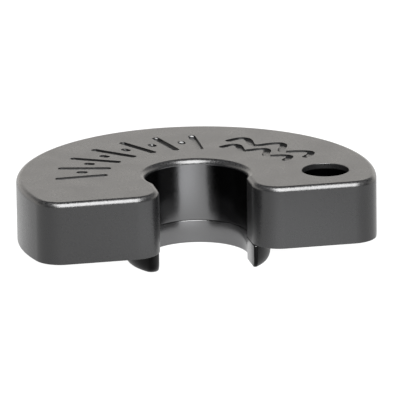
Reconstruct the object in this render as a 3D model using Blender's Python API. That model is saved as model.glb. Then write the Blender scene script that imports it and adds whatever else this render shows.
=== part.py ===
"""Slip-on vibration dampener: a C-shaped block with a split spigot ring under its bore.

Metres, +Z up. The open side of the C faces -Y. The origin is under the middle of the
object's box, at the level of the spigot ring's end face.
"""

import math

import bmesh
import bpy

MM = 0.001

# Block
OUTER_RADIUS = 19.0 * MM
BODY_HEIGHT = 6.7 * MM
FRONT_SETBACK = 7.5 * MM  # bore axis to the two flat front faces
CORNER_RADIUS = 2.9 * MM  # upright corners between the front faces and the rim
TOP_EDGE_RADIUS = 0.5 * MM
BOTTOM_EDGE_BREAK = 0.1 * MM

# Bore, and the slot that opens it to the front
BORE_RADIUS = 5.4 * MM
SLOT_STEP = 0.45 * MM  # how far each slot wall stands inside the bore's wall
THROAT_RADIUS = 3.0 * MM  # rounded mouth, from the slot walls to the front faces

# Spigot ring, butted to the block's underside around the bore
RING_WALL = 2.35 * MM
RING_DEPTH = 2.5 * MM  # block's underside to the ring's end face
RING_TIP_RADIUS = 0.8 * MM  # upright corners where the ring's ends meet its outside
RING_END_FLAT = 0.1 * MM  # least flat left on an end face, between the bore and its corner
LEAD_IN_WIDTH = 0.5 * MM  # rounding of the outside towards the end face
LEAD_IN_HEIGHT = 1.1 * MM
JOINT_GAP = 0.1 * MM
RING_EDGE_BREAK = 0.08 * MM

# Cord hole through one arm
HOLE_RADIUS = 2.5 * MM
HOLE_RIM_WALL = 2.85 * MM  # material between the hole and the rim
HOLE_ANGLE = math.radians(-8.5)

# Engraved ornament on the top face
GROOVE_WIDTH = 0.6 * MM
GROOVE_DEPTH = 0.25 * MM
BAND_INNER_MARGIN = 4.1 * MM  # bore to the ornament
BAND_OUTER_MARGIN = 4.3 * MM  # ornament to the rim
TICK_COUNT = 7
TICK_START = 171.0  # degrees round the bore from +X
TICK_PITCH = 15.5
TICK_SLANT = 5.0
WAVE_START = 62.0
WAVE_END = 16.0
WAVE_CRESTS = 5
WAVES = ((0.74, 0.2), (0.26, 0.16))  # height across the band and swing, as shares of its width

# Fineness of the round stretches
RIM_STEP = math.radians(4)
BORE_STEP = math.radians(8)
SMALL_STEP = math.radians(12)
EDGE_SEGMENTS = 4
RING_SIDES = 44
RING_TIP_SEGMENTS = 6
LEAD_IN_SEGMENTS = 5
HOLE_SIDES = 40
WAVE_CREST_POINTS = 7
GROOVE_END_SHARES = (1.0, 0.87, 0.5, 0.1)  # tube radius towards a rounded end
CUTTER_OVERRUN = 1.0 * MM
WELD_DISTANCE = 1e-7
SHARP_ANGLE = math.radians(30)

BORE_AXIS_Y = -(OUTER_RADIUS - FRONT_SETBACK) / 2
UNDERSIDE_Z = RING_DEPTH
TOP_Z = RING_DEPTH + BODY_HEIGHT
SLOT_HALF_WIDTH = BORE_RADIUS - SLOT_STEP
RING_RADIUS = BORE_RADIUS + RING_WALL


# ---------------------------------------------------------------- outlines

def arc(centre, radius, start, end, step):
    """Points along an arc, both ends included, in steps no larger than step."""
    count = max(1, math.ceil(abs(end - start) / step - 1e-9))
    angles = [start + (end - start) * index / count for index in range(count + 1)]
    return [(centre[0] + radius * math.cos(angle), centre[1] + radius * math.sin(angle)) for angle in angles]


def mirrored(points):
    """The same points on the -X side, in reverse order."""
    return [(-x, y) for x, y in reversed(points)]


def without_repeats(points):
    """The closed outline with each point that repeats the one before it left out."""
    pairs = zip(points, points[-1:] + points[:-1])
    return [point for point, before in pairs if math.dist(point, before) > WELD_DISTANCE]


def right_rim():
    """Rim of the +X arm, from its front face round the corner to the level of the bore axis."""
    centre_y = -FRONT_SETBACK + CORNER_RADIUS
    centre_x = math.sqrt((OUTER_RADIUS - CORNER_RADIUS) ** 2 - centre_y**2)
    tangent = math.atan2(centre_y, centre_x)
    corner = arc((centre_x, centre_y), CORNER_RADIUS, -math.pi / 2, tangent, SMALL_STEP)
    return corner + arc((0, 0), OUTER_RADIUS, tangent, 0, RIM_STEP)


def slot_end_angle():
    """Angle on the bore where the +X slot wall meets it, below the X axis."""
    return -math.acos(SLOT_HALF_WIDTH / BORE_RADIUS)


def right_mouth():
    """The rounded mouth of the slot, from the +X slot wall out to the front face."""
    centre = (SLOT_HALF_WIDTH + THROAT_RADIUS, -FRONT_SETBACK + THROAT_RADIUS)
    return arc(centre, THROAT_RADIUS, math.pi, 3 * math.pi / 2, SMALL_STEP)


def bore_wall():
    """The bore from the +X slot wall round the back to the -X one."""
    start = slot_end_angle()
    return arc((0, 0), BORE_RADIUS, start, math.pi - start, BORE_STEP)


def block_outline():
    mouth = right_mouth()
    rim = right_rim() + arc((0, 0), OUTER_RADIUS, 0, math.pi, RIM_STEP) + mirrored(right_rim())
    inside = mirrored(mouth) + list(reversed(bore_wall())) + mouth
    return without_repeats(rim + inside)


def tip_radius(radius):
    """The radius of the ends' upright corners, limited by the end face that this outside radius leaves."""
    bore_end = math.sqrt(BORE_RADIUS**2 - SLOT_HALF_WIDTH**2)
    room = radius**2 - SLOT_HALF_WIDTH**2 - (bore_end + RING_END_FLAT) ** 2
    return min(RING_TIP_RADIUS, room / (2 * (radius + SLOT_HALF_WIDTH)))


def ring_outline(radius):
    """The split ring with this outside radius. It has the same number of points at any radius."""
    rounding = tip_radius(radius)
    centre_x = SLOT_HALF_WIDTH + rounding
    centre_y = -math.sqrt((radius - rounding) ** 2 - centre_x**2)
    start = math.atan2(centre_y, centre_x)
    tip_sweep = start + math.pi
    tip_step = tip_sweep / RING_TIP_SEGMENTS
    tip = arc((centre_x, centre_y), rounding, -math.pi, start, tip_step)
    outside = arc((0, 0), radius, start, math.pi - start, (math.pi - 2 * start) / RING_SIDES)
    return outside[:-1] + mirrored(tip) + list(reversed(bore_wall())) + tip[:-1]


# ---------------------------------------------------------------- solids

def remove_everything():
    for old in list(bpy.data.objects):
        bpy.data.objects.remove(old, do_unlink=True)


def new_collection(name, hidden=False):
    collection = bpy.data.collections.new(name)
    collection.hide_render = hidden
    bpy.context.scene.collection.children.link(collection)
    return collection


def anodised(name, colour, roughness):
    material = bpy.data.materials.new(name)
    material.use_nodes = True
    shader = material.node_tree.nodes["Principled BSDF"]
    shader.inputs["Base Color"].default_value = (*colour, 1)
    shader.inputs["Roughness"].default_value = roughness
    shader.inputs["Metallic"].default_value = 0.3
    return material


def mesh_from_curve(guide, collection, name):
    """Turns a curve object into a welded mesh object of this name."""
    bpy.context.view_layer.update()
    graph = bpy.context.evaluated_depsgraph_get()
    mesh = bpy.data.meshes.new_from_object(guide.evaluated_get(graph))
    mesh.name = name
    solid = bpy.data.objects.new(name, mesh)
    solid.matrix_world = guide.matrix_world
    bpy.data.objects.remove(guide, do_unlink=True)
    collection.objects.link(solid)
    shape = bmesh.new()
    shape.from_mesh(mesh)
    bmesh.ops.remove_doubles(shape, verts=shape.verts, dist=WELD_DISTANCE)
    bmesh.ops.recalc_face_normals(shape, faces=shape.faces)
    shape.to_mesh(mesh)
    shape.free()
    return solid


def plate(name, outline, bottom, top, collection):
    """A flat plate of this outline about the bore axis, between two heights."""
    curve = bpy.data.curves.new(name, "CURVE")
    curve.dimensions = "2D"
    curve.fill_mode = "BOTH"
    curve.extrude = (top - bottom) / 2
    spline = curve.splines.new("POLY")
    spline.points.add(len(outline) - 1)
    for point, (x, y) in zip(spline.points, outline):
        point.co = (x, y, 0, 1)
    spline.use_cyclic_u = True
    guide = bpy.data.objects.new(name + "_outline", curve)
    guide.location = (0, BORE_AXIS_Y, (top + bottom) / 2)
    collection.objects.link(guide)
    return mesh_from_curve(guide, collection, name)


def stacked(name, sections, collection):
    """A solid through outlines about the bore axis, given as (height, points) from the bottom up."""
    shape = bmesh.new()
    rows = []
    for height, points in sections:
        rows.append([shape.verts.new((x, y + BORE_AXIS_Y, height)) for x, y in points])
    for below, above in zip(rows, rows[1:]):
        for index in range(len(below)):
            following = (index + 1) % len(below)
            shape.faces.new((below[index], below[following], above[following], above[index]))
    shape.faces.new(list(reversed(rows[0])))
    shape.faces.new(rows[-1])
    bmesh.ops.recalc_face_normals(shape, faces=shape.faces)
    mesh = bpy.data.meshes.new(name)
    shape.to_mesh(mesh)
    shape.free()
    solid = bpy.data.objects.new(name, mesh)
    collection.objects.link(solid)
    return solid


def round_edges(solid, at_top, width, segments):
    """Rounds the whole rim of a plate's top or bottom face."""
    shape = bmesh.new()
    shape.from_mesh(solid.data)
    heights = [vertex.co.z for vertex in shape.verts]
    level = max(heights) if at_top else min(heights)
    flat = []
    for face in shape.faces:
        if all(abs(vertex.co.z - level) < WELD_DISTANCE for vertex in face.verts):
            flat.append(face)
    if len(flat) > 1:
        flat = bmesh.ops.dissolve_faces(shape, faces=flat)["region"]
    edges = {edge for face in flat for edge in face.edges}
    bmesh.ops.bevel(shape, geom=list(edges), offset=width, segments=segments, profile=0.5, affect="EDGES")
    shape.to_mesh(solid.data)
    shape.free()


def cut(solid, cutter):
    cutter.hide_render = True
    cutter.display_type = "WIRE"
    difference = solid.modifiers.new("cut_" + cutter.name, "BOOLEAN")
    difference.operation = "DIFFERENCE"
    difference.solver = "EXACT"
    difference.use_self = True
    difference.object = cutter


def hole_cutter(collection):
    shape = bmesh.new()
    depth = BODY_HEIGHT + 2 * CUTTER_OVERRUN
    bmesh.ops.create_cone(
        shape, cap_ends=True, segments=HOLE_SIDES, radius1=HOLE_RADIUS, radius2=HOLE_RADIUS, depth=depth
    )
    mesh = bpy.data.meshes.new("hole_cutter")
    shape.to_mesh(mesh)
    shape.free()
    cutter = bpy.data.objects.new("hole_cutter", mesh)
    reach = OUTER_RADIUS - HOLE_RIM_WALL - HOLE_RADIUS
    x = reach * math.cos(HOLE_ANGLE)
    y = BORE_AXIS_Y + reach * math.sin(HOLE_ANGLE)
    cutter.location = (x, y, UNDERSIDE_Z + BODY_HEIGHT / 2)
    collection.objects.link(cutter)
    return cutter


# ---------------------------------------------------------------- ornament

def on_band(degrees, height):
    """A point of the ornament: its angle round the bore, and its height, 0 to 1, across the band."""
    inner = BORE_RADIUS + BAND_INNER_MARGIN
    outer = OUTER_RADIUS - BAND_OUTER_MARGIN
    radius = inner + (outer - inner) * height
    angle = math.radians(degrees)
    return radius * math.cos(angle), radius * math.sin(angle)


def tick(degrees, low, high, slant):
    """A straight stroke across the band, leaning by slant degrees from its foot to its head."""
    return [on_band(degrees - slant / 2, low), on_band(degrees + slant / 2, high)]


def wave(start, end, height, swing):
    """A stroke that swings across the band while it runs round it."""
    count = WAVE_CREST_POINTS * WAVE_CRESTS
    points = []
    for index in range(count + 1):
        share = index / count
        lift = swing * math.sin(math.pi * WAVE_CRESTS * share)
        points.append(on_band(start + (end - start) * share, height + lift))
    return points


def ornament():
    """All strokes, as lists of points about the bore axis: ticks with dots between, then waves."""
    strokes = []
    for index in range(TICK_COUNT):
        strokes.append(tick(TICK_START - TICK_PITCH * index, 0.04, 0.96, TICK_SLANT))
    for index in range(TICK_COUNT - 1):
        strokes.append(tick(TICK_START - TICK_PITCH * (index + 0.5), 0.46, 0.54, 0.3))
    for height, swing in WAVES:
        strokes.append(wave(WAVE_START, WAVE_END, height, swing))
    return strokes


def add_round_stroke(curve, points, radius, height):
    """Adds a spline whose ends are rounded by shrinking the tube along its last radius of length."""
    ends = []
    for end, inner in ((points[0], points[1]), (points[-1], points[-2])):
        length = math.dist(end, inner)
        direction = ((end[0] - inner[0]) / length, (end[1] - inner[1]) / length)
        caps = []
        for share in GROOVE_END_SHARES:
            reach = radius * math.sqrt(1 - share**2)
            caps.append((end[0] + direction[0] * reach, end[1] + direction[1] * reach, share))
        ends.append(caps)
    middle = [(x, y, 1.0) for x, y in points[1:-1]]
    path = list(reversed(ends[0])) + middle + ends[1]
    spline = curve.splines.new("POLY")
    spline.points.add(len(path) - 1)
    for point, (x, y, share) in zip(spline.points, path):
        point.co = (x, y, height, 1)
        point.radius = share


def engraving_cutter(collection):
    half = GROOVE_WIDTH / 2
    ball_radius = (half**2 + GROOVE_DEPTH**2) / (2 * GROOVE_DEPTH)
    curve = bpy.data.curves.new("engraving", "CURVE")
    curve.dimensions = "3D"
    curve.bevel_depth = ball_radius
    curve.bevel_resolution = 2
    curve.use_fill_caps = True
    for points in ornament():
        add_round_stroke(curve, points, ball_radius, 0)
    guide = bpy.data.objects.new("engraving_path", curve)
    guide.location = (0, BORE_AXIS_Y, TOP_Z - GROOVE_DEPTH + ball_radius)
    collection.objects.link(guide)
    return mesh_from_curve(guide, collection, "engraving_cutter")


# ---------------------------------------------------------------- pieces

def build_body(parts, cutters):
    body = plate("body", block_outline(), UNDERSIDE_Z, TOP_Z, parts)
    round_edges(body, True, TOP_EDGE_RADIUS, EDGE_SEGMENTS)
    round_edges(body, False, BOTTOM_EDGE_BREAK, 1)
    body.data.materials.append(anodised("body_anodised", (0.022, 0.022, 0.024), 0.34))
    cut(body, hole_cutter(cutters))
    cut(body, engraving_cutter(cutters))
    return body


def build_ring(parts):
    sections = []
    for index in range(LEAD_IN_SEGMENTS + 1):
        turn = math.pi / 2 * (1 - index / LEAD_IN_SEGMENTS)
        inset = LEAD_IN_WIDTH * (1 - math.cos(turn))
        height = LEAD_IN_HEIGHT * (1 - math.sin(turn))
        sections.append((height, ring_outline(RING_RADIUS - inset)))
    sections.append((RING_DEPTH - JOINT_GAP, ring_outline(RING_RADIUS)))
    ring = stacked("spigot_ring", sections, parts)
    round_edges(ring, True, RING_EDGE_BREAK, 1)
    ring.data.materials.append(anodised("ring_anodised", (0.02, 0.02, 0.022), 0.3))
    return ring


def main():
    remove_everything()
    parts = new_collection("vibration_dampener")
    cutters = new_collection("cutters", hidden=True)
    for piece in (build_body(parts, cutters), build_ring(parts)):
        piece.data.shade_smooth()
        piece.data.set_sharp_from_angle(angle=SHARP_ANGLE)


main()
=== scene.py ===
import math

import bmesh
import bpy
from mathutils import Matrix, Vector


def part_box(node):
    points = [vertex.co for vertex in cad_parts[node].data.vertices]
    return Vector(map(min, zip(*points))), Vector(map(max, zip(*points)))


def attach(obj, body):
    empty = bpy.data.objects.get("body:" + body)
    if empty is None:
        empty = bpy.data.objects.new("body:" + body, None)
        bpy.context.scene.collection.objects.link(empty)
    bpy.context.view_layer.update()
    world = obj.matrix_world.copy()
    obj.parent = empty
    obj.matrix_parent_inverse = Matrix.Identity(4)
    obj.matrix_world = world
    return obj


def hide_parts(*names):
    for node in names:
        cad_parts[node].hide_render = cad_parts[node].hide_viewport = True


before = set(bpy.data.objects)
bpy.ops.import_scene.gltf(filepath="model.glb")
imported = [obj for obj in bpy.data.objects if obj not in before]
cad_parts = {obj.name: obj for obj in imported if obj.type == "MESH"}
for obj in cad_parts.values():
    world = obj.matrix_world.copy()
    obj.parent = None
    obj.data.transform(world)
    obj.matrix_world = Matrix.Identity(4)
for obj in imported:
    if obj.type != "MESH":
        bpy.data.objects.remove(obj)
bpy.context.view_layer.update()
scene = bpy.context.scene
mm = 0.001
samePlace = 1e-8  # metres: points closer than this are one

# places read from the solids
bodyLow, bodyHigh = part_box("body")
ringLow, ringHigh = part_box("spigot_ring")
rimRadius = (bodyHigh.x - bodyLow.x) / 2
frontSetback = 7.5 * mm  # bore axis to the two flat front faces
boreY = bodyLow.y + frontSetback
topZ = bodyHigh.z
undersideZ = bodyLow.z
print("frame: rim radius", round(rimRadius / mm, 2), "mm, bore axis at y", round(boreY / mm, 2), "mm")


# shader graphs written as sums

class Term:
    # a socket that does arithmetic
    def __init__(self, graph, socket):
        self.graph = graph
        self.socket = socket

    def math(self, operation, *others):
        return self.graph.node("Math", {"operation": operation}, (self, *others))

    def __add__(self, other):
        return self.math("ADD", other)

    def __sub__(self, other):
        return self.math("SUBTRACT", other)

    def __mul__(self, other):
        return self.math("MULTIPLY", other)

    def __truediv__(self, other):
        return self.math("DIVIDE", other)

    def __rsub__(self, other):
        return self.graph.node("Math", {"operation": "SUBTRACT"}, (other, self))

    def __rtruediv__(self, other):
        return self.graph.node("Math", {"operation": "DIVIDE"}, (other, self))

    __radd__ = __add__
    __rmul__ = __mul__

    def ramp(self, low, high):
        # smooth step from 0 to 1
        return self.graph.node("MapRange", {"interpolation_type": "SMOOTHSTEP"}, (self, low, high))


class Graph:
    # one node tree, with one call for every kind of node
    def __init__(self, tree):
        self.tree = tree

    def node(self, kind, settings=None, sockets=(), output=0, prefix="ShaderNode"):
        made = self.tree.nodes.new(prefix + kind)
        for name, value in (settings or {}).items():
            setattr(made, name, value)
        pairs = sockets.items() if isinstance(sockets, dict) else enumerate(sockets)
        for key, value in pairs:
            self.feed(made.inputs[key], value)
        return Term(self, made.outputs[output]) if made.outputs else made

    def feed(self, socket, value):
        if isinstance(value, list):
            for item in value:
                self.feed(socket, item)
        elif isinstance(value, Term):
            self.tree.links.new(value.socket, socket)
        else:
            socket.default_value = value

    def blend(self, share, first, last):
        # mix of two colours, each a plain one or a socket's
        first, last = ((*tone, 1) if isinstance(tone, tuple) else tone for tone in (first, last))
        return self.node("Mix", {"data_type": "RGBA"}, {0: share, 6: first, 7: last}, 2)

    def noise(self, place, scale, detail):
        sockets = {"Vector": place, "Scale": scale, "Detail": detail}
        return self.node("TexNoise", {"noise_dimensions": "3D"}, sockets)


# outlines, as points about the bore axis

def stepsIn(start, end, step):
    roundingError = 1e-9  # so that a whole number of steps stays whole
    return max(1, math.ceil(abs(end - start) / step - roundingError))


def arc(centre, radius, start, end, count):
    angles = [start + (end - start) * index / count for index in range(count + 1)]
    return [(centre[0] + radius * math.cos(a), centre[1] + radius * math.sin(a)) for a in angles]


def otherSide(points):
    return [(-x, y) for x, y in reversed(points)]


def withoutRepeats(points):
    pairs = zip(points, points[-1:] + points[:-1])
    return [point for point, before in pairs if math.dist(point, before) > samePlace]


# solids

def newObject(name, data):
    made = bpy.data.objects.new(name, data)
    scene.collection.objects.link(made)
    return made


def fromShape(name, shape):
    mesh = bpy.data.meshes.new(name)
    shape.to_mesh(mesh)
    shape.free()
    return newObject(name, mesh)


def keepShape(source, name):
    # plain mesh of an object as its modifiers leave it
    graph = bpy.context.evaluated_depsgraph_get()
    graph.update()
    mesh = bpy.data.meshes.new_from_object(source.evaluated_get(graph))
    mesh.name = name
    bpy.data.objects.remove(source, do_unlink=True)
    return newObject(name, mesh)


def cutAway(piece, cutter, selfCrossing=False):
    modifier = piece.modifiers.new("cut", "BOOLEAN")
    modifier.operation = "DIFFERENCE"
    modifier.solver = "EXACT"
    modifier.use_self = selfCrossing
    modifier.object = cutter
    kept = keepShape(piece, piece.name)
    bpy.data.objects.remove(cutter, do_unlink=True)
    return kept


def finishNormals(piece, sharpDegrees=35, levelNormal=0.99999):
    # level faces keep flat shading right up to their softened edges
    piece.data.shade_smooth()
    piece.data.set_sharp_from_angle(angle=math.radians(sharpDegrees))
    weighted = piece.modifiers.new("flat faces", "WEIGHTED_NORMAL")
    weighted.weight = 100
    weighted.keep_sharp = True
    kept = keepShape(piece, piece.name)
    normals = [corner.vector.copy() for corner in kept.data.corner_normals]
    for face in kept.data.polygons:
        if abs(face.normal.z) > levelNormal:
            for corner in face.loop_indices:
                normals[corner] = face.normal.copy()
    kept.data.normals_split_custom_set(normals)
    return kept


# finishes

def newFinish(name):
    material = bpy.data.materials.new(name)
    material.use_nodes = True
    material.node_tree.nodes.clear()
    return material, Graph(material.node_tree)


def borePlace(graph):
    # position about the bore axis, in millimetres
    sockets = {"Vector": graph.node("TexCoord", None, (), 3), "Location": (0, -boreY / mm, 0)}
    sockets["Scale"] = (1 / mm, 1 / mm, 1 / mm)
    place = graph.node("Mapping", {"vector_type": "POINT"}, sockets)
    x, y, z = (graph.node("SeparateXYZ", None, (place,), axis) for axis in range(3))
    return place, (x, y, z), (x * x + y * y).math("SQRT")


def within(value, edge, reach):
    # 1 inside an edge and 0 beyond it, fading between two distances from the edge
    return 1 - value.ramp((edge + reach[0]) / mm, (edge + reach[1]) / mm)


def closeFinish(graph, sockets):
    graph.node("OutputMaterial", None, (graph.node("BsdfPrincipled", None, sockets),))


# the block

blockSettings = {
    "cornerRadius": 2.9 * mm,
    "throatRadius": 3.0 * mm,
    "boreRadius": 5.4 * mm,
    "boreSides": 120,
    "slotHalfWidth": 4.95 * mm,
    "cuspRadius": 0.3 * mm,  # softened upright edge where slot wall and bore meet
    "cuspSides": 10,
    "topEdge": 0.58 * mm,
    "topEdgeSegments": 12,
    "bottomEdge": 0.08 * mm,
    "bottomEdgeSegments": 3,
    "rimStep": math.radians(1.5),
    "cornerStep": math.radians(4),
    "holeRadius": 2.5 * mm,
    "holeRimWall": 2.85 * mm,
    "holeAngle": math.radians(-8.5),
    "holeEdge": 0.06 * mm,
    "holeEdgeSegments": 5,
    "holeSides": 96,
    "dye": (0.0042, 0.0042, 0.0044),
    "dyeWorn": (0.02, 0.0195, 0.0195),
    "wornShare": 0.7,
    "wornGrain": (0.35, 0.7),  # the grain shows through the worn edges between these values
    "roughness": 0.3,
    "grainScale": 5.0,
    "grainDetail": 3.0,
    "grainHeight": 0.024 * mm,
    "grainStrength": 0.5,
    "grainSwing": 0.18,  # in roughness
    "cloudScale": 0.35,
    "cloudDetail": 2.0,
    "cloudSwing": 0.08,
    "boreRoughness": 0.18,
    "boreSmoothing": 0.8,  # share of the grain that the bore loses
    # painted shade: the bore is given less reflection than the faces, so its sides stay dark
    "boreTint": (0.022, 0.022, 0.023),
    "paintedReflectionTint": (0.128, 0.128, 0.13),  # painted reflection: the back of the bore is given more reflection where the bright strip shows
    "paintedReflectionFade": (0.76, 0.92),  # cosines of the angles off the back that it fades between
    # painted shade: the hole's wall is given almost no reflection, so it stays black
    "holeTint": (0.002, 0.002, 0.002),
    "boreFade": (0.02 * mm, 0.1 * mm),
    "holeFade": (0.02 * mm, 0.08 * mm),
    "topFade": (-0.05 * mm, 0.1 * mm),
    "refraction": 1.5,
}


def rimHalf(sizes):
    corner = sizes["cornerRadius"]
    centreY = corner - frontSetback
    centreX = math.sqrt((rimRadius - corner) ** 2 - centreY ** 2)
    front, tangent, back = -math.pi / 2, math.atan2(centreY, centreX), math.pi / 2
    bend = arc((centreX, centreY), corner, front, tangent, stepsIn(front, tangent, sizes["cornerStep"]))
    return bend + arc((0, 0), rimRadius, tangent, back, stepsIn(tangent, back, sizes["rimStep"]))


def cuspHalf(sizes, spread=0.0):
    # softened upright edge of the +X side, from the bore to the slot wall
    centreX = sizes["slotHalfWidth"] + sizes["cuspRadius"]
    centreY = -math.sqrt((sizes["boreRadius"] + sizes["cuspRadius"]) ** 2 - centreX ** 2)
    start = math.atan2(-centreY, -centreX)
    return arc((centreX, centreY), sizes["cuspRadius"] - spread, start, math.pi, sizes["cuspSides"])


def boreArc(sizes, cusp, spread=0.0):
    start = math.atan2(cusp[0][1], cusp[0][0])
    return arc((0, 0), sizes["boreRadius"] + spread, start, math.pi - start, sizes["boreSides"])


def blockOutline(sizes):
    mouth, wallEnd, mouthEnd = sizes["throatRadius"], math.pi, 1.5 * math.pi
    centre = (sizes["slotHalfWidth"] + mouth, mouth - frontSetback)
    cusp = cuspHalf(sizes)
    steps = stepsIn(wallEnd, mouthEnd, sizes["cornerStep"])
    throat = cusp + arc(centre, mouth, wallEnd, mouthEnd, steps)
    rim = rimHalf(sizes)
    inside = otherSide(throat) + boreArc(sizes, cusp)[::-1] + throat
    return withoutRepeats(rim + otherSide(rim) + inside)


def plate(name, sizes):
    # the outline raised to its thickness, with both edges rounded
    shape = bmesh.new()
    corners = [shape.verts.new((x, y + boreY, undersideZ)) for x, y in blockOutline(sizes)]
    base = shape.faces.new(corners)
    lid = bmesh.ops.extrude_face_region(shape, geom=[base])
    raised = [item for item in lid["geom"] if isinstance(item, bmesh.types.BMVert)]
    bmesh.ops.translate(shape, verts=raised, vec=(0, 0, topZ - undersideZ))
    bmesh.ops.recalc_face_normals(shape, faces=shape.faces)
    for level, edge in ((topZ, "topEdge"), (undersideZ, "bottomEdge")):
        around = [e for e in shape.edges if all(abs(v.co.z - level) < samePlace for v in e.verts)]
        width, segments = sizes[edge], sizes[edge + "Segments"]
        bmesh.ops.bevel(shape, geom=around, offset=width, segments=segments, profile=0.5, affect="EDGES")
    return fromShape(name, shape)


def holeCentre(sizes):
    # from the bore axis
    reach = rimRadius - sizes["holeRimWall"] - sizes["holeRadius"]
    return reach * math.cos(sizes["holeAngle"]), reach * math.sin(sizes["holeAngle"])


def holeCutter(sizes):
    # turned plug that flares at both faces, so that the hole's rims come out softened
    edge, radius, segments = sizes["holeEdge"], sizes["holeRadius"], sizes["holeEdgeSegments"]
    flare, clear = radius + edge * 2, topZ + 1 * mm
    rimStart = math.radians(100)  # just short of level with the top face
    profile = [(0, clear), (flare, clear), (flare, topZ + edge)]
    profile += arc((radius + edge, topZ - edge), edge, rimStart, math.pi, segments)
    profile += [(across, topZ + undersideZ - height) for across, height in reversed(profile)]
    shape = bmesh.new()
    points = [shape.verts.new((across, 0, height)) for across, height in profile]
    edges = [shape.edges.new(pair) for pair in zip(points, points[1:])]
    bmesh.ops.spin(
        shape, geom=points + edges, cent=(0, 0, 0), axis=(0, 0, 1), dvec=(0, 0, 0),
        angle=2 * math.pi, steps=sizes["holeSides"], use_merge=True,
    )
    bmesh.ops.remove_doubles(shape, verts=shape.verts, dist=samePlace)
    bmesh.ops.recalc_face_normals(shape, faces=shape.faces)
    acrossX, acrossY = holeCentre(sizes)
    bmesh.ops.translate(shape, verts=shape.verts, vec=(acrossX, boreY + acrossY, 0))
    return fromShape("hole cutter", shape)


# engraved ornament: ticks with dots between them, then two waves

grooveSizes = {
    "Band Inner": 9.5 * mm,
    "Band Outer": rimRadius - 4.3 * mm,
    "Half Width": 0.41 * mm,
    "Depth": 0.38 * mm,
    "Rim Softness": 0.06 * mm,
    "Tick Count": 7,
    "First Tick": math.radians(171),
    "Tick Pitch": math.radians(15.5),
    "Tick Lean": math.radians(5),
    "Wave Start": math.radians(62),
    "Wave End": math.radians(16),
    "Wave Crests": 5.0,
    "Point Spacing": 0.07 * mm,
}
waveRows = ((0.74, 0.2), (0.26, 0.16))  # height across the band and swing, as shares of its width
wavePoints = 200
tickReach = (0.04, 0.96)  # from and to, as shares of the band's width
dotReach = (0.46, 0.54)
dotLean = 0.06  # share of a tick's lean
leastEnd = 0.0004  # square of the section's smallest scale, at the very end of a stroke


def grooveSection(sizes):
    # cross-section of the cutter, seen along a stroke, with the top face at height 0
    soft, bowlSegments, rimSegments = sizes["Rim Softness"], 8, 5
    bowl = sizes["Half Width"] - soft
    steepness = (sizes["Depth"] - soft) / bowl
    right = [(x, y * steepness - soft) for x, y in arc((0, 0), bowl, -math.pi / 2, 0, bowlSegments)]
    rimEnd = math.radians(102)  # just short of level with the top face
    right += arc((bowl + soft, -soft), soft, math.pi, rimEnd, rimSegments)[1:]
    aside, barelyAbove, wellAbove = bowl + soft * 2.5, soft * 0.35, soft * 4
    right += [(aside, barelyAbove), (aside, wellAbove)]
    points = right + [(-x, y) for x, y in reversed(right) if x > samePlace]
    curve = bpy.data.curves.new("groove section", "CURVE")
    curve.dimensions = "3D"
    spline = curve.splines.new("POLY")
    spline.points.add(len(points) - 1)
    for point, (x, y) in zip(spline.points, points):
        point.co = (x, y, 0, 1)
    spline.use_cyclic_u = True
    return newObject("groove section", curve)


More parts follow.
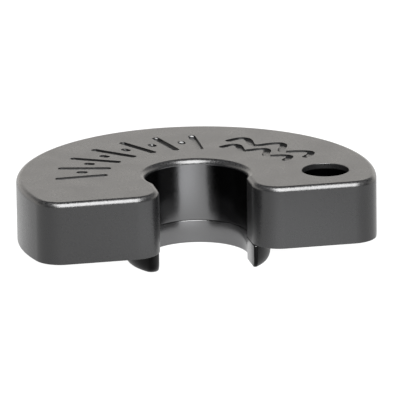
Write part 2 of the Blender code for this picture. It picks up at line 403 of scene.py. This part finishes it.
def ornamentTree():
    tree = bpy.data.node_groups.new("engraved ornament", "GeometryNodeTree")
    face = tree.interface
    face.new_socket("Geometry", in_out="OUTPUT", socket_type="NodeSocketGeometry")
    for name, value in grooveSizes.items():
        kind = "NodeSocketInt" if isinstance(value, int) else "NodeSocketFloat"
        face.new_socket(name, in_out="INPUT", socket_type=kind)
    for row in range(len(waveRows)):
        face.new_socket(f"Wave {row} Height", in_out="INPUT", socket_type="NodeSocketFloat")
        face.new_socket(f"Wave {row} Swing", in_out="INPUT", socket_type="NodeSocketFloat")
    face.new_socket("Section", in_out="INPUT", socket_type="NodeSocketObject")
    face.new_socket("Finish", in_out="INPUT", socket_type="NodeSocketMaterial")
    graph = Graph(tree)
    entry = graph.node("GroupInput", prefix="Node").socket.node
    given = {socket.name: Term(graph, socket) for socket in entry.outputs if socket.name}

    def geo(kind, settings=None, sockets=(), output=0):
        return graph.node(kind, settings, sockets, output, prefix="GeometryNode")

    def vector(x, y, z=0.0):
        return graph.node("CombineXYZ", None, (x, y, z))

    inner, outer = given["Band Inner"], given["Band Outer"]
    width = outer - inner

    def strokeRow(reach, lean, count, first):
        # one straight stroke, copied round the bore
        low = inner + width * reach[0] - given["Half Width"]
        high = inner + width * reach[1] + given["Half Width"]
        foot = vector(low * (lean * -0.5).math("COSINE"), low * (lean * -0.5).math("SINE"))
        head = vector(high * (lean * 0.5).math("COSINE"), high * (lean * 0.5).math("SINE"))
        line = geo("CurvePrimitiveLine", None, {"Start": foot, "End": head})
        spots = geo("Points", None, {"Count": count})
        turn = vector(0.0, 0.0, first - geo("InputIndex") * given["Tick Pitch"])
        return geo("InstanceOnPoints", None, {"Points": spots, "Instance": line, "Rotation": turn})

    def waveRow(row):
        # a line bent round the band while it swings across it
        line = geo("CurvePrimitiveLine", None, {"Start": (0, 0, 0), "End": (1, 0, 0)})
        fine = geo("ResampleCurve", None, {"Curve": line, "Count": wavePoints})
        along = geo("SplineParameter", None, (), 0)
        extra = given["Half Width"] / (inner + width * given[f"Wave {row} Height"])
        start = given["Wave Start"] + extra
        angle = start + (given["Wave End"] - extra - start) * along
        share = (angle - given["Wave Start"]) / (given["Wave End"] - given["Wave Start"])
        lift = (share * given["Wave Crests"] * math.pi).math("SINE") * given[f"Wave {row} Swing"]
        radius = inner + width * (given[f"Wave {row} Height"] + lift)
        place = vector(radius * angle.math("COSINE"), radius * angle.math("SINE"))
        return geo("SetPosition", None, {"Geometry": fine, "Position": place})

    count, first, pitch = given["Tick Count"], given["First Tick"], given["Tick Pitch"]
    ticks = strokeRow(tickReach, given["Tick Lean"], count, first)
    dots = strokeRow(dotReach, given["Tick Lean"] * dotLean, count - 1.0, first - pitch * 0.5)
    waves = [waveRow(row) for row in range(len(waveRows))]
    paths = geo("RealizeInstances", None, (geo("JoinGeometry", None, ([ticks, dots, *waves],)),))
    paths = geo("ResampleCurve", {"mode": "LENGTH"}, {"Curve": paths, "Length": given["Point Spacing"]})
    paths = geo("SetCurveNormal", {"mode": "Z_UP"}, {"Curve": paths})

    # ball-nosed ends: the section shrinks over the last half width
    run = geo("SplineParameter", None, (), 1)
    fromEnd = run.math("MINIMUM", geo("SplineLength") - run) / given["Half Width"]
    back = (1 - fromEnd.math("MINIMUM", 1.0)).math("MAXIMUM", 0.0)
    scale = (1 - back * back).math("MAXIMUM", leastEnd).math("SQRT")
    section = geo("ObjectInfo", {"transform_space": "ORIGINAL"}, {"Object": given["Section"]}, 4)
    sockets = {"Curve": paths, "Profile Curve": section, "Scale": scale, "Fill Caps": True}
    solid = geo("RealizeInstances", None, (geo("CurveToMesh", None, sockets),))
    solid = geo("SetMaterial", None, {"Geometry": solid, "Material": given["Finish"]})
    graph.node("GroupOutput", None, (solid,), prefix="Node")
    return tree


def grooveCutter(finish):
    carrier = newObject("ornament carrier", bpy.data.meshes.new("ornament carrier"))
    modifier = carrier.modifiers.new("ornament", "NODES")
    modifier.node_group = ornamentTree()
    section = grooveSection(grooveSizes)
    values = {**grooveSizes, "Section": section, "Finish": finish}
    for row, (height, swing) in enumerate(waveRows):
        values[f"Wave {row} Height"] = height
        values[f"Wave {row} Swing"] = swing
    for item in modifier.node_group.interface.items_tree:
        if item.in_out == "INPUT":
            modifier[item.identifier] = values[item.name]
    strokes = keepShape(carrier, "ornament strokes")
    shape = bmesh.new()
    shape.from_mesh(strokes.data)
    for helper in (section, strokes):
        bpy.data.objects.remove(helper, do_unlink=True)
    bmesh.ops.remove_doubles(shape, verts=shape.verts, dist=samePlace)
    bmesh.ops.recalc_face_normals(shape, faces=shape.faces)
    bmesh.ops.translate(shape, verts=shape.verts, vec=(0, boreY, topZ))
    return fromShape("ornament cutter", shape)


def markWear(piece, softness, margin=0.6 * mm, nearlyFlat=4, barelyBelow=0.001 * mm):
    # most on the rounded upper edges, 0 on level and upright faces and in the engraving
    bandInner, bandOuter = grooveSizes["Band Inner"] - margin, grooveSizes["Band Outer"] + margin
    values = []
    for vertex in piece.data.vertices:
        fromTop = topZ - vertex.co.z
        fromBore = math.hypot(vertex.co.x, vertex.co.y - boreY)
        engraved = bandInner < fromBore < bandOuter and vertex.co.y > boreY
        lean = math.degrees(math.acos(min(1, abs(vertex.normal.z))))
        onEdge = nearlyFlat < lean < 90 - nearlyFlat and barelyBelow < fromTop < softness
        worn = (1 - fromTop / softness) * math.sin(math.radians(2 * lean)) ** 2
        values.append(worn if onEdge and not engraved else 0)
    wear = piece.data.attributes.new("edgeWear", "FLOAT", "POINT")
    wear.data.foreach_set("value", values)


def blockMaterial(look):
    material, graph = newFinish("black anodised block")
    place, (x, y, z), radius = borePlace(graph)
    grain = graph.noise(place, look["grainScale"], look["grainDetail"])
    cloud = graph.noise(place, look["cloudScale"], look["cloudDetail"])
    wear = graph.node("Attribute", {"attribute_name": "edgeWear"}, (), 2)
    worn = wear * grain.ramp(*look["wornGrain"]) * look["wornShare"]
    dyed = graph.blend(worn, look["dye"], look["dyeWorn"])

    belowEdge = within(z, topZ - look["topEdge"], look["topFade"])
    inBore = within(radius, look["boreRadius"], look["boreFade"]) * belowEdge
    # the bore's colour: painted shade on its sides, painted reflection on its back
    bore = graph.blend((y / radius).ramp(*look["paintedReflectionFade"]), look["boreTint"], look["paintedReflectionTint"])
    holeX, holeY = holeCentre(look)
    alongX, alongY = x - holeX / mm, y - holeY / mm
    fromHole = (alongX * alongX + alongY * alongY).math("SQRT")
    inHole = within(fromHole, look["holeRadius"], look["holeFade"]) * belowEdge
    # painted shade in the cord hole
    base = graph.blend(inHole, graph.blend(inBore, dyed, bore), look["holeTint"])

    rough = look["roughness"] + (cloud - 0.5) * look["cloudSwing"] + (grain - 0.5) * look["grainSwing"]
    rough = rough + inBore * (look["boreRoughness"] - look["roughness"])
    height = grain * (1 - inBore * look["boreSmoothing"])
    sockets = {"Strength": look["grainStrength"], "Distance": look["grainHeight"], "Height": height}
    bump = graph.node("Bump", None, sockets)
    metal = inBore.math("MAXIMUM", inHole)
    sockets = {"Base Color": base, "Roughness": rough, "Metallic": metal, "Normal": bump}
    closeFinish(graph, {**sockets, "IOR": look["refraction"]})
    return material


blockSkin = blockMaterial(blockSettings)
block = cutAway(plate("anodised_block", blockSettings), holeCutter(blockSettings))
print("block: outline, edges and cord hole made,", len(block.data.polygons), "faces")
block = cutAway(block, grooveCutter(blockSkin), selfCrossing=True)
block = finishNormals(block)
markWear(block, blockSettings["topEdge"])
block.data.materials.clear()
block.data.materials.append(blockSkin)
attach(block, "root")
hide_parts("body")
print("block: ornament engraved,", len(block.data.polygons), "faces")


# the ring

ringSettings = {
    "radius": (ringHigh.x - ringLow.x) / 2,
    "leftTip": 0.7 * mm,  # upright corners where the ends meet the outside
    "rightTip": 0.25 * mm,
    "leadInWidth": 0.5 * mm,  # rounding of the outside towards the end face
    "leadInHeight": 1.1 * mm,
    "leadInLayers": 10,
    "top": undersideZ - 0.015 * mm,  # the joint closes to a hairline
    "topEdge": 0.08 * mm,
    "topEdgeSegments": 4,
    "bottomEdge": 0.12 * mm,
    "sides": 168,
    "tipSides": 24,
    "outside": (0.006, 0.006, 0.006),  # painted shade: the outside is given almost no reflection, so it stays as dark as the shaded spigot
    "outsideRoughness": 0.42,
    "edge": (0.05, 0.05, 0.05),
    "edgeFade": 0.03 * mm,
    "boreRoughness": 0.2,
    "boreTint": (0.14, 0.14, 0.142),
    "boreFade": 0.1 * mm,  # clear of both walls
    "grainScale": 8.0,
    "grainDetail": 3.0,
    "grainSwing": 0.08,  # in roughness
    "lineScale": (14.0, 11.0),  # fine turned lines, upwards and outwards
    "lineDetail": 2.0,
    "lineSwing": 0.1,
    "lineShare": 0.7,  # of the relief; the grain makes the rest
    "reliefStrength": 0.3,
    "reliefHeight": 0.003 * mm,
}


def tipHalf(sizes, outer, tip, spread):
    # upright corner of the +X end, and the angle at which the outside starts
    centreX = blockSettings["slotHalfWidth"] + tip
    centreY = -math.sqrt((outer - tip) ** 2 - centreX ** 2)
    start = math.atan2(centreY, centreX)
    return arc((centreX, centreY), tip - spread, -math.pi, start, sizes["tipSides"]), start


def ringOutline(sizes, inset, spread):
    # same number of points at any inset of the outside and any spread of the bore
    outer = sizes["radius"] - inset
    right, start = tipHalf(sizes, outer, sizes["rightTip"], spread)
    left, finish = tipHalf(sizes, outer, sizes["leftTip"], spread)
    outside = arc((0, 0), outer - spread, start, math.pi - finish, sizes["sides"])
    cusp = cuspHalf(blockSettings, spread)
    inside = otherSide(cusp) + boreArc(blockSettings, cusp, spread)[::-1][1:-1] + cusp
    return outside + otherSide(left)[1:] + inside + right[:-1]


def ringSections(sizes):
    # heights and outlines from the end face up: rounded outside, then the two edge breaks
    sections = []
    edge, layers = sizes["bottomEdge"], sizes["leadInLayers"]
    for index in range(layers + 1):
        turn = math.pi / 2 * (1 - index / layers)
        height = sizes["leadInHeight"] * (1 - math.sin(turn))
        inset = sizes["leadInWidth"] * (1 - math.cos(turn))
        rise = min(1, height / edge)
        spread = edge * (1 - math.sqrt(1 - (1 - rise) ** 2))
        sections.append((ringLow.z + height, ringOutline(sizes, max(0, inset - spread), spread)))
    edge, segments = sizes["topEdge"], sizes["topEdgeSegments"]
    for index in range(segments + 1):
        turn = math.pi / 2 * index / segments
        spread = edge * (1 - math.cos(turn))
        height = sizes["top"] - edge * (1 - math.sin(turn))
        sections.append((height, ringOutline(sizes, 0, spread)))
    return sections


def stacked(name, sections):
    shape = bmesh.new()
    rows = [[shape.verts.new((x, y + boreY, height)) for x, y in outline] for height, outline in sections]
    for below, above in zip(rows, rows[1:]):
        for index in range(len(below)):
            after = (index + 1) % len(below)
            shape.faces.new((below[index], below[after], above[after], above[index]))
    shape.faces.new(rows[0][::-1])
    shape.faces.new(rows[-1])
    bmesh.ops.recalc_face_normals(shape, faces=shape.faces)
    return fromShape(name, shape)


def ringMaterial(look):
    material, graph = newFinish("black anodised ring")
    place, (_, _, z), radius = borePlace(graph)
    grain = graph.noise(place, look["grainScale"], look["grainDetail"])
    upwards, outwards = look["lineScale"]
    sockets = {"W": z * upwards + radius * outwards, "Detail": look["lineDetail"]}
    lines = graph.node("TexNoise", {"noise_dimensions": "1D"}, sockets)
    reach = (look["boreFade"], look["radius"] - blockSettings["boreRadius"] - look["boreFade"])
    inBore = within(radius, blockSettings["boreRadius"], reach)
    # painted shade on the outside; the bore keeps its own brighter finish
    base = graph.blend(inBore, look["outside"], look["boreTint"])
    topEdge = look["top"] - look["topEdge"]
    onEdge = z.ramp(topEdge / mm, (topEdge + look["edgeFade"]) / mm)
    base = graph.blend(onEdge, base, look["edge"])
    rough = look["outsideRoughness"] + inBore * (look["boreRoughness"] - look["outsideRoughness"])
    rough = rough + (grain - 0.5) * look["grainSwing"] + (lines - 0.5) * look["lineSwing"]
    relief = lines * look["lineShare"] + grain * (1 - look["lineShare"])
    sockets = {"Strength": look["reliefStrength"], "Distance": look["reliefHeight"], "Height": relief}
    bump = graph.node("Bump", None, sockets)
    closeFinish(graph, {"Base Color": base, "Roughness": rough, "Normal": bump, "Metallic": 1.0})
    return material


ring = finishNormals(stacked("split_ring", ringSections(ringSettings)))
ring.data.materials.append(ringMaterial(ringSettings))
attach(ring, "root")
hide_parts("spigot_ring")
print("ring: made,", len(ring.data.polygons), "faces")


# studio

studio = {
    "floorSize": 3.0,
    "floorDrop": 0.02 * mm,  # under the ring's end face
    "floorTone": (0.02, 0.02, 0.02),
    "floorRoughness": 0.9,
    "floorGlow": (1.0, 1.0, 1.0),
    "poolGlow": (1.95, 1.97, 2.0),  # painted light: the floor glows brighter in a pool in front, though no lamp is there
    "poolPlace": (8 * mm, -29 * mm),
    "poolReach": (21 * mm, 23 * mm),
    "poolSoftness": 0.25,
    "shadeGlow": (0.02, 0.02, 0.02),  # in the block's own shade, behind a line and round the ring
    "shadeFrom": -4.2 * mm,
    "shadeSoftness": 1.5 * mm,
    "shadeInside": (0.3, 0.36),  # distances from the bore axis that it fades between, in rim radii
    "shadeOutside": (0.7, 0.85),
    "darkTone": (0.12, 0.12, 0.123),
    "backTone": (1.53, 1.48, 1.41),
    "backFront": (-0.35, 0.1),  # how far back a direction points where the backdrop begins
    "backTop": (0.33, 0.48),  # sines of the heights between which it ends
    "panelBrightness": 22.0,
    "panelDistance": 0.7,
    "panelHeight": math.radians(48),  # above the floor, in front
    "panelSpan": math.radians(32),  # half of what it covers, up and down
    "panelWidth": math.radians(23),
}

cameraSettings = {
    "azimuth": math.radians(-11.47),
    "elevation": math.radians(16.34),
    "roll": -0.0149,
    "distance": 33 * rimRadius,
    "view": 2.22618 * rimRadius,  # width of the view at the bore axis
    "aimRight": 0.015973 * rimRadius,  # from where the bore axis meets the underside's level
    "aimUp": 0.191618 * rimRadius,
    "sensorWidth": 36,
    "clip": (0.01, 20),  # metres
}


def floorMaterial():
    material, graph = newFinish("pale floor")
    place = graph.node("TexCoord", None, (), 3)
    x, y = (graph.node("SeparateXYZ", None, (place,), axis) for axis in range(2))
    # painted pool of light on the floor in front
    overX = (x - studio["poolPlace"][0]) / studio["poolReach"][0]
    overY = (y - studio["poolPlace"][1]) / studio["poolReach"][1]
    lightPool = 1 - (overX * overX + overY * overY).math("SQRT").ramp(studio["poolSoftness"], 1.0)
    glow = graph.blend(lightPool, studio["floorGlow"], studio["poolGlow"])
    fromBore = (x * x + (y - boreY) * (y - boreY)).math("SQRT") / rimRadius
    around = fromBore.ramp(*studio["shadeInside"]) * (1 - fromBore.ramp(*studio["shadeOutside"]))
    shade = around * y.ramp(studio["shadeFrom"], studio["shadeFrom"] + studio["shadeSoftness"])
    sockets = {"Base Color": (*studio["floorTone"], 1), "Roughness": studio["floorRoughness"]}
    sockets["Emission Color"] = graph.blend(shade, glow, studio["shadeGlow"])
    sockets["Emission Strength"] = 1.0
    pale = graph.node("BsdfPrincipled", None, sockets)
    fromBelow = graph.node("NewGeometry", None, (), 6)  # see-through there, so that the underside shows
    mixed = graph.node("MixShader", None, (fromBelow, pale, graph.node("BsdfTransparent")))
    graph.node("OutputMaterial", None, (mixed,))
    return material


def makeFloor():
    shape = bmesh.new()
    bmesh.ops.create_grid(shape, x_segments=1, y_segments=1, size=studio["floorSize"] / 2)
    bmesh.ops.translate(shape, verts=shape.verts, vec=(0, 0, ringLow.z - studio["floorDrop"]))
    floor = fromShape("floor", shape)
    floor.data.materials.append(floorMaterial())
    return floor


def makeWorld():
    world = bpy.data.worlds.new("soft surround")
    world.use_nodes = True
    world.node_tree.nodes.clear()
    graph = Graph(world.node_tree)
    direction = graph.node("TexCoord", None, (), 0)
    across, height = (graph.node("SeparateXYZ", None, (direction,), axis) for axis in (1, 2))
    backdrop = across.ramp(*studio["backFront"]) * (1 - height.ramp(*studio["backTop"]))
    tone = graph.blend(backdrop, studio["darkTone"], studio["backTone"])
    seen = graph.node("LightPath")  # plain white where the camera looks past the floor
    tone = graph.blend(seen, tone, (1, 1, 1))
    surround = graph.node("Background", None, {"Color": tone, "Strength": 1.0})
    graph.node("OutputWorld", None, (surround,))
    scene.world = world


def makePanel():
    # one soft panel that faces the part from above its front
    distance, turn = studio["panelDistance"], studio["panelHeight"]
    data = bpy.data.lights.new("soft panel", "AREA")
    data.shape = "RECTANGLE"
    data.size = 2 * distance * math.tan(studio["panelWidth"])
    data.size_y = 2 * distance * math.tan(studio["panelSpan"])
    data.energy = math.pi * data.size * data.size_y * studio["panelBrightness"]
    lamp = newObject("soft panel", data)
    lamp.location = (0, -distance * math.cos(turn), distance * math.sin(turn))
    lamp.rotation_euler = (math.pi / 2 - turn, 0, 0)
    lamp.visible_camera = False


def makeCamera(facts):
    azimuth, elevation, roll = facts["azimuth"], facts["elevation"], facts["roll"]
    right = Vector((math.cos(azimuth), math.sin(azimuth), 0))
    level = Vector((math.sin(azimuth), -math.cos(azimuth), 0))
    back = level * math.cos(elevation) + Vector((0, 0, math.sin(elevation)))
    up = back.cross(right)
    right, up = right * math.cos(roll) + up * math.sin(roll), up * math.cos(roll) - right * math.sin(roll)
    aim = Vector((0, boreY, undersideZ)) + right * facts["aimRight"] + up * facts["aimUp"]
    data = bpy.data.cameras.new("camera")
    data.sensor_width = facts["sensorWidth"]
    data.lens = facts["sensorWidth"] * facts["distance"] / facts["view"]
    data.clip_start, data.clip_end = facts["clip"]
    place = Matrix((right, up, back)).transposed().to_4x4()
    place.translation = aim + back * facts["distance"]
    camera = newObject("camera", data)
    camera.matrix_world = place
    scene.camera = camera


makeFloor()
makeWorld()
makePanel()
makeCamera(cameraSettings)
scene.view_settings.view_transform = "Standard"
print("studio: floor, surround, soft panel and camera made")
